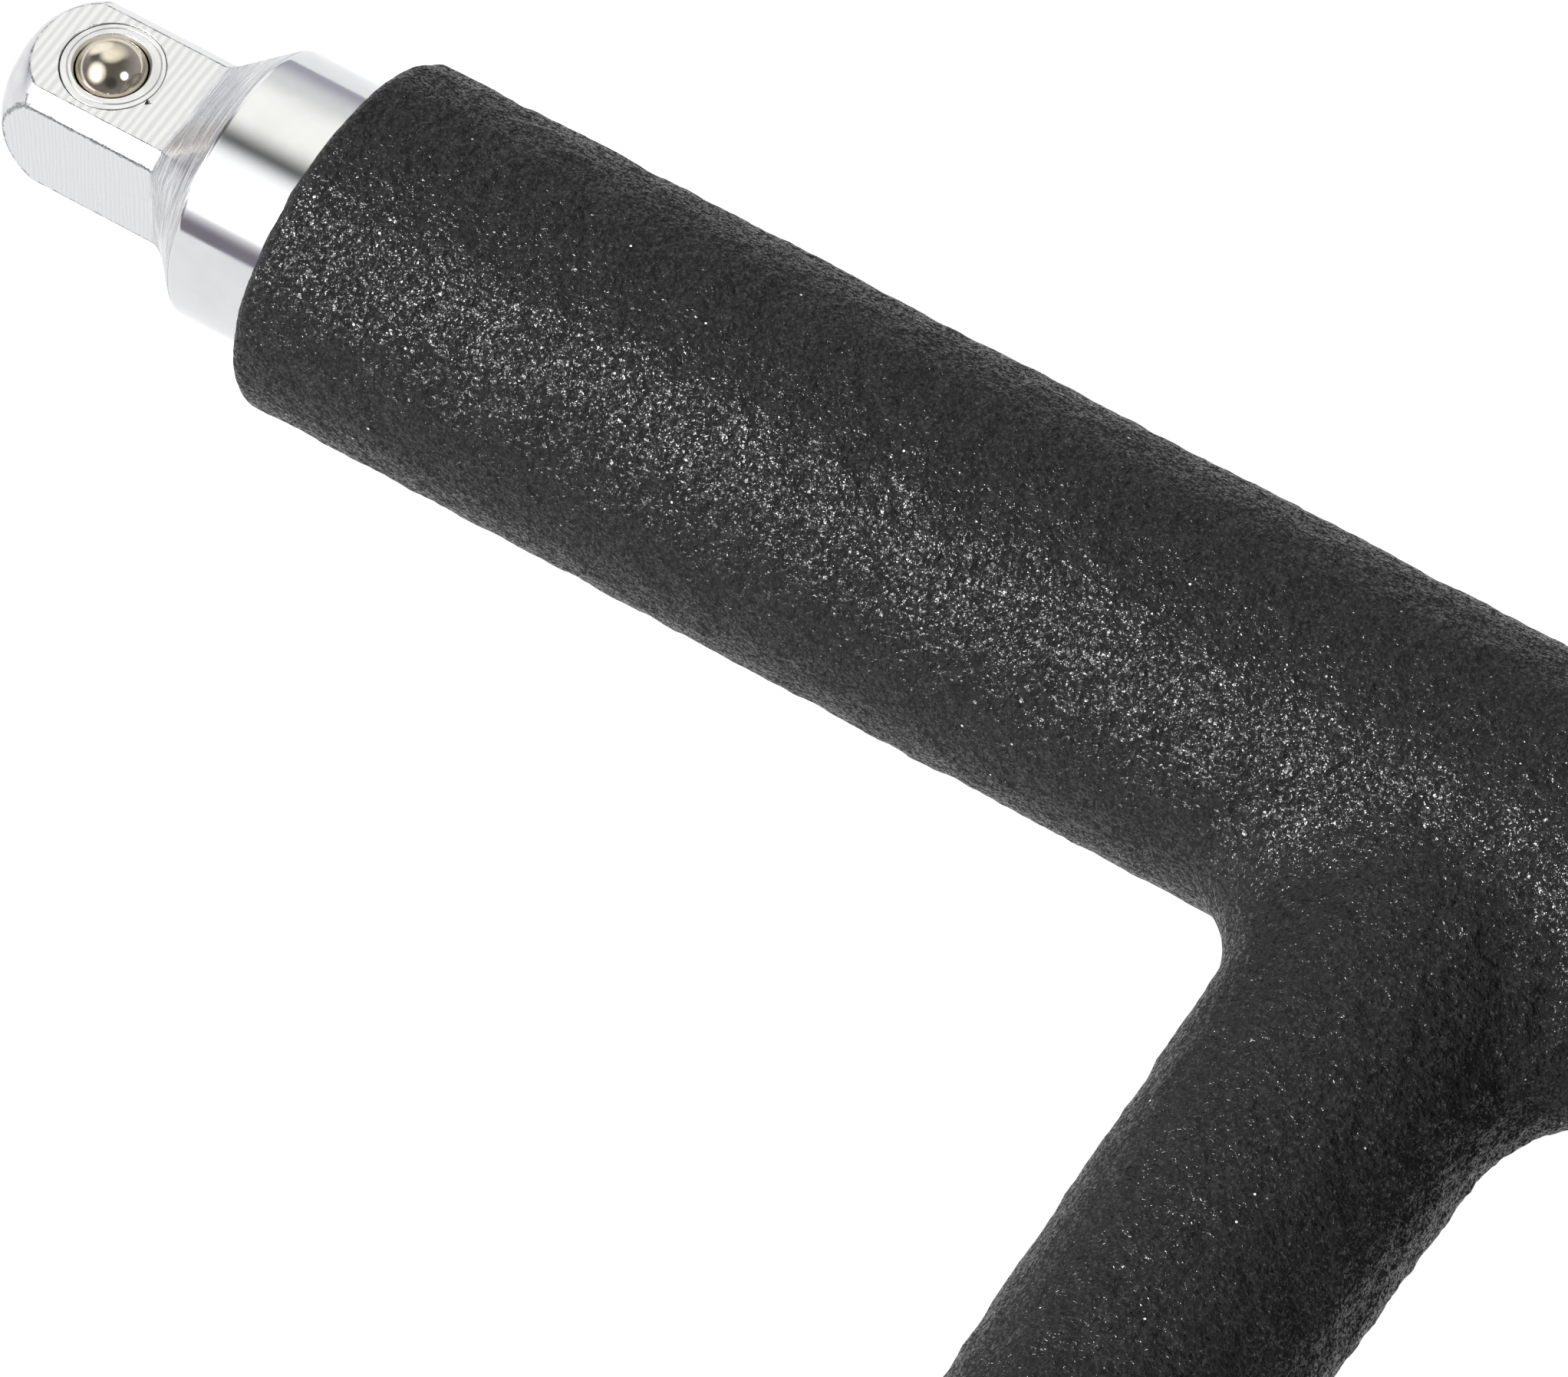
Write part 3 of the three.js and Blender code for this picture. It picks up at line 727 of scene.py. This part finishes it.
def paint_anvil(made):
    """Gives each stretch of the drive its own finish."""
    finishes = [satin_chrome(),
                milled_chrome("chrome_milled_top", period=0.75, depth=0.007, ripple=0.5, groove=CHROME_DULL),
                milled_chrome("chrome_milled_side", period=0.4, depth=0.0008, ripple=0.9,
                              groove=CHROME_SIDE),
                polished_chrome(), brushed_chrome(),
                plain_steel("pocket_steel_painted_shade", STEEL_SHADED_IN_POCKET, rough=0.4, marks=1.5)]
    made.data.materials.clear()
    for finish in finishes:
        made.data.materials.append(finish)
    nose, top, side, polished, shoulder, pocket = range(6)
    count = len(made.data.polygons)
    centre = np.zeros(count * 3)
    facing = np.zeros(count * 3)
    made.data.polygons.foreach_get("center", centre)
    made.data.polygons.foreach_get("normal", facing)
    x, y, z = (centre.reshape(-1, 3) / MM).T
    facing = facing.reshape(-1, 3)
    across = np.maximum(np.abs(facing[:, 1]), np.abs(facing[:, 2]))
    which = np.full(count, polished)
    before = x < SHOULDER_FINISH[0]
    which[before & (across > FLAT_FACING)] = side
    which[before & (np.abs(facing[:, 2]) > FLAT_FACING)] = top
    which[before & (np.abs(facing[:, 0]) > NOSE_FACING)] = nose
    which[(x >= SHOULDER_FINISH[0]) & (x < SHOULDER_FINISH[1])] = shoulder
    # The pocket's wall and the nick take the dark steel, which is painted shade in those hollows.
    inside = np.hypot(x - DETENT_X - CAGE_SHIFT, y) < POCKET_R + 0.02
    which[inside & (z < FLAT_Z - UNDER_FLAT) & (z > CAGE_LOW[2] - 1)] = pocket
    nicked = np.hypot(x - NICK[0], y - NICK[1]) < 0.5
    which[nicked & (z < FLAT_Z - 0.02) & (z > FLAT_Z - 1)] = pocket
    made.data.polygons.foreach_set("material_index", which.astype(np.int32))
    made.data.update()


# ---------------------------------------------------------------- detent

def cage_ring():
    """The staked insert. Its mouth is round the ball and its stake mark is off both centres."""
    top, low, bore = FLAT_Z - CAGE_SINK, CAGE_LOW[2], BALL_R + 0.3
    outline = [[0, low], [CAGE_FOOT_R, low], [CAGE_WALL_R, low + CAGE_FOOT],
               [CAGE_WALL_R, top - 0.6], [CAGE_RIM_R, top - 0.5],
               [CAGE_RIM_R, top - 0.04], [CAGE_RIM_R - FACE_EDGE, top],
               [STAKE_R + 0.06, top], [STAKE_R, top - FACE_EDGE], [STAKE_R - 0.07, top + 0.005],
               [MOUTH_R + 0.04, top], [MOUTH_R, top - FACE_EDGE], [BALL_R - 0.1, top - 0.33],
               [bore, top - 0.75], [bore, low + CAGE_FLOOR], [0, low + CAGE_FLOOR]]
    made = lathe("cage_ring", soften(outline, 0.04, 4),
                 lambda r, a, s: along_z(r, a, s, DETENT_X + CAGE_SHIFT), FINELY_TURNED)
    points = coordinates(made.data)
    radius = np.hypot(points[:, 0] - DETENT_X - CAGE_SHIFT, points[:, 1])
    staked = np.exp(-((radius - STAKE_R) / 0.2) ** 2)
    mouth = smoothstep(STAKE_R - 0.2, MOUTH_R + 0.1, radius)
    rim = smoothstep(STAKE_R + 0.2, CAGE_RIM_R - 0.1, radius)
    points[:, 0] += STAKE_SHIFT[0] * staked - CAGE_SHIFT * mouth + RIM_SHIFT * rim
    points[:, 1] += STAKE_SHIFT[1] * staked
    set_coordinates(made.data, points)
    return made


def ball_polished():
    """A ball from a cube's grid, which has no poles, worn very slightly flat on top."""
    mesh = bmesh.new()
    bmesh.ops.create_cube(mesh, size=2.0)
    bmesh.ops.subdivide_edges(mesh, edges=mesh.edges[:], cuts=BALL_CUTS, use_grid_fill=True)
    for vert in mesh.verts:
        direction = Vector([math.tan(c * math.pi / 4) for c in vert.co]).normalized()
        wear = BALL_WEAR * max(0.0, (direction.z - BALL_WEAR_FROM) / (1 - BALL_WEAR_FROM))
        vert.co = (Vector(BALL_CENTRE) + direction * (BALL_R - wear)) * MM
    data = bpy.data.meshes.new("ball_polished")
    mesh.to_mesh(data)
    mesh.free()
    data.shade_smooth()
    made = bpy.data.objects.new("ball_polished", data)
    bpy.context.scene.collection.objects.link(made)
    return made


def coil_spring():
    """The ball's spring, wound from the cage's floor up to the ball."""
    low, high = SPRING_LOW[2] + SPRING_WIRE_R, SPRING_HIGH[2] - SPRING_WIRE_R
    coil = (SPRING_HIGH[0] - SPRING_LOW[0]) / 2 - SPRING_WIRE_R - SPRING_GAP
    turn = np.linspace(0, TAU * SPRING_TURNS, int(SPRING_STEPS * SPRING_TURNS))[:, None]
    climb = (high - low) / (TAU * SPRING_TURNS * coil)
    outward = np.hstack([np.cos(turn), np.sin(turn), 0 * turn])
    along = np.hstack([-np.sin(turn), np.cos(turn), 0 * turn + climb])
    along /= np.linalg.norm(along, axis=1)[:, None]
    upward = np.cross(outward, along)
    height = low + (high - low) * turn / turn[-1]
    centre = outward * coil + np.hstack([0 * turn + DETENT_X, 0 * turn, height])
    side = np.linspace(0, TAU, WIRE_SIDES, endpoint=False)[None, :, None]
    offset = np.cos(side) * outward[:, None] + np.sin(side) * upward[:, None]
    return flip_outward(mesh_object("coil_spring", *skin(centre[:, None] + SPRING_WIRE_R * offset)))


# ---------------------------------------------------------------- cover

def branch_radius(along):
    """Radius of the branch that far from the crossbar's axis."""
    return BRANCH_R - BRANCH_DRAFT * along


def branch_rings(segments=FINELY_TURNED, steps=26):
    """The branch, swelling into the arm over a rolling-ball fillet that grows to the rear."""
    angle = np.linspace(0, TAU, segments, endpoint=False)
    around = np.stack([np.cos(angle), 0 * angle, np.sin(angle)], -1)
    size = FILLET_FRONT + (FILLET_REAR - FILLET_FRONT) * (1 + np.cos(angle)) / 2
    centre = around * (branch_radius(FILLET_AT) + size)[:, None]
    centre[:, 1] = -np.sqrt((ARM_R + size) ** 2 - centre[:, 2] ** 2)
    to_arm = np.stack([0 * angle, -centre[:, 1], -centre[:, 2]], -1)
    to_arm /= np.linalg.norm(to_arm, axis=1)[:, None]
    spread = np.arccos(np.clip(-(to_arm * around).sum(1), -1, 1))
    rings = [np.stack([centre[:, 0], centre[:, 1] * 0.5, centre[:, 2] * 0.5], -1)]
    for share in np.linspace(0, 1, steps):
        first = (size * np.sin((1 - share) * spread) / np.sin(spread))[:, None]
        second = (size * np.sin(share * spread) / np.sin(spread))[:, None]
        rings.append(centre + first * to_arm - second * around)
    tail = [[branch_radius(a), a] for a in (*BRANCH_STATIONS, ARM_REACH - ARM_RIM)]
    tail += rounded_end(branch_radius(ARM_REACH), ARM_REACH, ARM_RIM, steps=8, first=0.1)
    for radius, along in tail:
        rings.append(np.stack([radius * np.cos(angle), 0 * angle - along, radius * np.sin(angle)], -1))
    return np.array(rings) + [LEVER_X, 0, 0]


def rounded_start(radius, start, size, steps):
    """Outline points over the rounded edge where a sleeve begins."""
    return [[radius - size * (1 - math.sin(t)), start + size * (1 - math.cos(t))] for t in quarter_arc(steps)]


def rounded_end(radius, end, size, steps, first=0.0):
    """Outline points over the rounded edge where it ends."""
    return [[radius - size * (1 - math.cos(t)), end - size * (1 - math.sin(t))]
            for t in quarter_arc(steps, first)]


def arm_profile(start, end, radius, rim, steps=9):
    front = rounded_start(radius, start, rim, steps)
    back = rounded_end(radius, end, rim, steps)
    return [[radius * 0.5, start]] + front + back + [[radius * 0.5, end]]


def remeshed(made, targets):
    """An even mesh of the object's outside, drawn back onto the surfaces it was made from."""
    modifier = made.modifiers.new("even", "REMESH")
    modifier.mode = "VOXEL"
    modifier.voxel_size = VOXEL * MM
    applied(made)
    points = coordinates(made.data)
    drawn = np.array([targets.find_nearest(Vector(p))[0] for p in points.tolist()])
    set_coordinates(made.data, drawn)
    return made


def roughen(made, weight):
    """Moves the skin by the moulding's lumps. Nothing passes the CAD model's box."""
    mesh = made.data
    points, facing = coordinates(mesh), normals(mesh)
    lumps = sum(noise_field(points, *lump) for lump in LUMPS)
    lumps += noise_field(points, *SMALL_LUMPS)
    lumps = lumps * weight(points) + noise_field(points, *WAVES)
    limit = np.maximum(np.abs(facing[:, 2]), facing[:, 1])
    lumps -= LUMP_SINK * smoothstep(0.93, 1.0, limit)
    moved = points + facing * lumps[:, None]
    moved[:, 2] = np.clip(moved[:, 2], -ARM_R, ARM_R)
    moved[:, 1] = np.minimum(moved[:, 1], ARM_R)
    set_coordinates(mesh, moved)
    mesh.shade_smooth()


def cover_weight(points):
    """The lumps are weak at the front rim and on the drive side of the fillet, strong at the rear."""
    x, y = points[:, 0], points[:, 1]
    front = smoothstep(ARM_START_X, ARM_START_X + 8, x) * 0.4 + 0.6
    side = (x - LEVER_X) / BRANCH_R
    lever = 1.0 + 0.9 * smoothstep(0.2, 0.9, side) * smoothstep(-13, -17, y)
    corner = 1 - 0.6 * np.exp(-((x - LEVER_X + 17) ** 2 + (y + 20) ** 2) / 60.0)
    return front * lever * corner


def skewed(points):
    """The cover's front end isn't quite square to the crossbar."""
    share = smoothstep(ARM_START_X + SKEW_LENGTH, ARM_START_X, points[:, 0])
    points[:, 0] -= FRONT_SKEW * share * (points[:, 1:] @ SKEW_TOWARDS) / ARM_R
    return points


def bore_tool(name, radius, start, end, place, segments):
    """A cylinder to cut with."""
    return lathe(name, [[0, start], [radius, start], [radius, end], [0, end]], place, segments)


def cover_moulding():
    """The T-shaped moulding: arm and branch made one by an even remesh, roughened, then bored."""
    angle = np.linspace(0, TAU, FINELY_TURNED, endpoint=False)
    profile = np.array(arm_profile(ARM_START_X, ARM_END_X, ARM_R, ARM_RIM))
    arm_points, arm_faces = skin(along_x(profile[:, :1], angle, profile[:, 1:]))
    branch_points, branch_faces = skin(branch_rings())
    faces = arm_faces + [tuple(i + len(arm_points) for i in f) for f in branch_faces]
    points = skewed(np.vstack([arm_points, branch_points]))
    made = mesh_object("cover_moulding", points, faces)
    targets = BVHTree.FromPolygons([Vector(p) for p in points.tolist()], faces)
    remeshed(made, targets)
    roughen(made, cover_weight)
    cut(made, bore_tool("arm_bore", NECK_R + BORE_GAP, 0, ARM_END_X + TOOL_RUN, along_x, 120),
        bore_tool("lever_bore", LEVER_R + BORE_GAP, 2, ARM_REACH + TOOL_RUN, along_lever, 96))
    made.data.shade_smooth()
    made.data.set_sharp_from_angle(angle=SHARP_ANGLE)
    return made


def grip_moulding():
    """The second moulding, at the lever's end: a turned sleeve with the cover's grain."""
    start, end, bore = -GRIP_HIGH[1], -GRIP_LOW[1], LEVER_R + BORE_GAP
    edge, step = GRIP_BORE_EDGE, VOXEL * 1.1
    nose = rounded_start(ARM_R, start, GRIP_NOSE, 14)
    tail = rounded_end(ARM_R, end, GRIP_TAIL, 6)
    run = [[ARM_R, s] for s in np.arange(start + GRIP_NOSE + step, end - GRIP_TAIL - step / 2, step)]
    outline = [[bore + edge, start]] + nose + run + tail
    outline += [[bore + edge, end], [bore, end - edge], [bore, start + edge]]
    made = lathe("grip_moulding", outline, along_lever, int(TAU * ARM_R / step), loop=True)
    flip_outward(made)
    roughen(made, lambda p: np.where(np.hypot(p[:, 0] - LEVER_X, p[:, 2]) > bore + 0.6, 1.0, 0.0))
    made.data.set_sharp_from_angle(angle=SHARP_ANGLE)
    return made


# ---------------------------------------------------------------- lever tube and caps

def lever_tube():
    """The lever, its root cut to the crossbar's curve."""
    start, end, bore = -LEVER_HIGH[1], -LEVER_LOW[1], LEVER_BORE_R
    outline = [[bore, start], [LEVER_R, start], [LEVER_R, end], [bore, end], [bore, start]]
    made = lathe("lever_tube_chromed", soften(outline, LEVER_EDGE)[:-1], along_lever, 200, loop=True)
    flip_outward(made)
    return cut(made, bore_tool("crossbar", NECK_R + SADDLE_GAP, 0, SADDLE_TOOL, along_x, TURNED))


def end_cap(name, spigot_r, start, face, place, cap_r):
    """A moulded cap: spigot, shoulder and a face with a shallow turned ring."""
    seat = face - CAP_HEAD
    outline = [[0, start], [spigot_r - CAP_CHAMFER, start], [spigot_r, start + CAP_CHAMFER],
               [spigot_r, seat], [cap_r, seat], [cap_r, face - CAP_ROUND]]
    outline += rounded_end(cap_r, face, CAP_ROUND, steps=10, first=0.08)
    outline += [[cap_r - inward, face - depth] for inward, depth in CAP_RING] + [[0, face]]
    return flip_outward(lathe(name, soften(outline, CAP_EDGE, 4), place, 200))


# ---------------------------------------------------------------- light, floor and camera

WALL_BEHIND = (0.25, 0.23, 0.27, 1)
WALL_AHEAD = (0.5, 0.49, 0.56, 1)
CEILING = (0.17, 0.17, 0.17, 1)
# Each panel: the direction it stands in, the angles in degrees off that direction where its light is
# full and where it has faded out, and its colour. A later panel covers the ones before it.
PANELS = [
    ((0.43, -0.72, 0.55), 6, 24, (0.09, 0.09, 0.09, 1)),        # dark stripe along the neck
    ((-0.81, 0.09, 0.58), 4, 18, (0.14, 0.14, 0.15, 1)),
    ((-0.276, 0.68, 0.68), 8, 38, (0.98, 0.98, 0.96, 1)),       # soft boxes above the far side
    ((-0.276, 0.42, 0.86), 4, 32, (1.38, 1.38, 1.30, 1)),
    ((-0.78, 0.55, 0.35), 14, 28, (1.4, 1.4, 1.4, 1)),
    ((0.77, -0.06, 0.63), 7, 13, (8.0, 8.0, 8.0, 1)),
    ((-0.45, -0.62, 0.64), 19, 35, (1.42, 1.42, 1.42, 1)),      # the near lamp, its shade and its core
    ((-0.40, -0.72, 0.56), 12, 20, (2.4, 2.4, 2.4, 1)),
    ((-0.45, -0.62, 0.64), 5, 11, (165.0, 165.0, 165.0, 1))]


def world_light():
    """A white studio: the panels on dim walls. The camera itself sees plain white."""
    world = bpy.data.worlds.new("studio")
    bpy.context.scene.world = world
    world.use_nodes = True
    tree = world.node_tree
    tree.nodes.clear()
    where = add(tree, "ShaderNodeTexCoord").outputs["Generated"]
    _, ahead, up = axes(tree, where)
    walls = mixed(tree, ramp(tree, ahead, -0.7, 0.8), WALL_BEHIND, WALL_AHEAD)
    light = mixed(tree, ramp(tree, up, 0.1, 0.95), walls, CEILING)

    def lobe(direction, inner, outer):
        length = math.sqrt(sum(d * d for d in direction))
        toward = add(tree, "ShaderNodeVectorMath", {0: where, 1: tuple(d / length for d in direction)},
                     operation="DOT_PRODUCT").outputs["Value"]
        return ramp(tree, toward, math.cos(math.radians(outer)), math.cos(math.radians(inner)))

    for direction, inner, outer, colour in PANELS:
        light = mixed(tree, lobe(direction, inner, outer), light, colour)

    seen = add(tree, "ShaderNodeLightPath").outputs["Is Camera Ray"]
    light = mixed(tree, seen, light, (1, 1, 1, 1))
    shine = add(tree, "ShaderNodeBackground", {"Color": light, "Strength": 1.0})
    add(tree, "ShaderNodeOutputWorld", {"Surface": shine.outputs[0]})


FLOOR_SIZE = 6.0                 # half its width, in metres
FLOOR_GLOW = 1.03


def studio_floor():
    """A floor that mostly glows white, so that shadows stay faint. From below it can't be seen."""
    size, level = FLOOR_SIZE, CAD_BOUNDS[0][2]
    mesh = bpy.data.meshes.new("floor")
    mesh.from_pydata([(-size, -size, level), (size, -size, level), (size, size, level), (-size, size, level)],
                     [], [(0, 1, 2, 3)])
    floor = bpy.data.objects.new("floor", mesh)
    bpy.context.scene.collection.objects.link(floor)
    made, tree, shader = material("floor_paper")
    tone = ramp(tree, grain(tree, millimetres(tree), size=40.0), 0.3, 0.7, to_low=0.025, to_high=0.035)
    paper = add(tree, "ShaderNodeCombineColor", {0: tone, 1: tone, 2: tone}).outputs[0]
    plug(tree, shader, Base_Color=paper, Roughness=1.0, Emission_Color=(1, 1, 1, 1),
         Emission_Strength=FLOOR_GLOW)
    shader.inputs["Specular IOR Level"].default_value = 0.0
    under = add(tree, "ShaderNodeNewGeometry").outputs["Backfacing"]
    clear = add(tree, "ShaderNodeBsdfTransparent").outputs[0]
    one_sided = add(tree, "ShaderNodeMixShader", {0: under, 1: shader.outputs[0], 2: clear}).outputs[0]
    tree.links.new(one_sided, tree.nodes["Material Output"].inputs["Surface"])
    mesh.materials.append(made)


CAMERA_TARGET = (84.282, -18.365, 0.0)   # mm, a point in the plane of the T
CAMERA_DISTANCE = 867.191                # mm
CAMERA_AZIMUTH, CAMERA_ELEVATION, CAMERA_ROLL = 29.921, 56.390, 2.357    # degrees
CAMERA_LENS, CAMERA_SENSOR = 251.755, 36.0                               # mm


def camera():
    """The photograph's view of the drive and the tee."""
    data = bpy.data.cameras.new("camera")
    made = bpy.data.objects.new("camera", data)
    bpy.context.scene.collection.objects.link(made)
    bpy.context.scene.camera = made
    a, e = math.radians(CAMERA_AZIMUTH), math.radians(CAMERA_ELEVATION)
    back = Vector((math.sin(a) * math.cos(e), -math.cos(a) * math.cos(e), math.sin(e)))
    made.location = (Vector(CAMERA_TARGET) + back * CAMERA_DISTANCE) * MM
    made.rotation_mode = "QUATERNION"
    level = (-back).to_track_quat("-Z", "Y")
    made.rotation_quaternion = level @ Quaternion((0, 0, 1), math.radians(CAMERA_ROLL))
    data.sensor_width = CAMERA_SENSOR
    data.lens = CAMERA_LENS
    data.clip_start, data.clip_end = 0.01, 50.0


# ---------------------------------------------------------------- the tool

def fit(made, body, slot, *nodes):
    """Hands a piece over: the body it rides on and the CAD nodes it replaces. Its material slot is not used.
    """
    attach(made, body)
    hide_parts(*nodes)


def finish_with(made, coating):
    made.data.materials.clear()
    made.data.materials.append(coating)
    return made


world_light()
studio_floor()
camera()

anvil = anvil_body()
paint_anvil(anvil)
fit(anvil, "tool", "chrome", "drive_anvil")
fit(finish_with(cage_ring(), satin_chrome()), "tool", "chrome", "detent_cage")
fit(finish_with(ball_polished(), ball_steel()), "ball", "bearing_steel", "detent_ball")

rubber = grained_rubber()
fit(finish_with(cover_moulding(), rubber), "tool", "grained_rubber", "arm_cover")
fit(finish_with(grip_moulding(), rubber), "tool", "grained_rubber", "lever_grip")
fit(finish_with(lever_tube(), polished_chrome()), "tool", "chrome", "lever_tube")

nylon = cap_nylon()
CAP_R = REAR_CAP_HIGH[2]
rear = end_cap("rear_cap_nylon", REAR_SPIGOT_R, REAR_CAP_LOW[0], REAR_CAP_HIGH[0], along_x, CAP_R)
fit(finish_with(rear, nylon), "tool", "nylon", "rear_cap")
tip = end_cap("lever_cap_nylon", LEVER_SPIGOT_R, -LEVER_CAP_HIGH[1], -LEVER_CAP_LOW[1], along_lever, CAP_R)
fit(finish_with(tip, nylon), "tool", "nylon", "lever_cap")

bare = plain_steel("steel_bare", STEEL, rough=0.35, marks=3.0)
weld = plain_steel("steel_welded", STEEL_WELDED, rough=0.5, marks=1.2)
spring = finish_with(coil_spring(), bare)
fit(spring, "tool", "plain_steel", "detent_spring")
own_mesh(spring)
for node in ("anvil_pin_front", "anvil_pin_rear", "crossbar_tube", "tee_core"):
    finish_with(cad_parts[node], bare)
finish_with(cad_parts["tee_weld_bead"], weld)

bpy.context.scene.view_settings.view_transform = "Standard"
